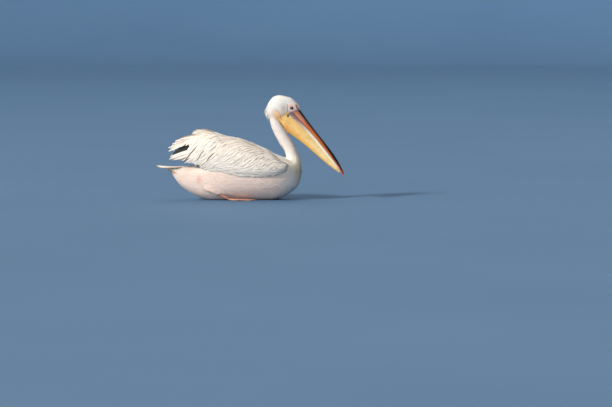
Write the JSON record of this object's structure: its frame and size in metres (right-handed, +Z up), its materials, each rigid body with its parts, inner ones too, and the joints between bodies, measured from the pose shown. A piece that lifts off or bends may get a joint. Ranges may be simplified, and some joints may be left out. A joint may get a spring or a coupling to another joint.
{
  "type": "white pelican",
  "caption": "Life-size still figure of a white pelican resting on its belly, wings folded, feet tucked beneath and the long pouched bill held forward and down.",
  "frame": {"origin": "bottom centre of the bounding box: on the floor under the middle of the bird's length", "axes": "+X forward, the way the bird faces; +Y the bird's left; +Z up"},
  "size_m": [0.9674, 0.2992, 0.5416],
  "materials": {
    "plumage": "soft white body feathers with a faint pink wash",
    "wing_feathers": "long white wing feathers, slightly grey",
    "tail_feathers": "white tail feathers, buff below",
    "flight_feathers": "black flight feathers with a dull sheen",
    "bill_horn": "smooth horn, slate ridge, rust and orange sides, pale lower edge",
    "nail_horn": "polished red-orange horn",
    "pouch_skin": "thin elastic yellow skin with fine folds",
    "leg_skin": "scaled pinkish-orange skin",
    "eye": "wet, very dark brown"
  },
  "bodies": {
    "root": {"trunk": "plumage", "neck": "plumage", "tail": "tail_feathers", "head": "plumage", "crest": "plumage", "upper_bill": "bill_horn", "bill_nail": "nail_horn", "lower_bill_left": "bill_horn", "lower_bill_right": "bill_horn", "throat_pouch": "pouch_skin", "wing_left": "wing_feathers", "wing_right": "wing_feathers", "primaries_left": "flight_feathers", "primaries_right": "flight_feathers", "leg_left": "leg_skin", "leg_right": "leg_skin", "foot_left": "leg_skin", "foot_right": "leg_skin", "eye_left": "eye", "eye_right": "eye"}
  },
  "joints": []
}
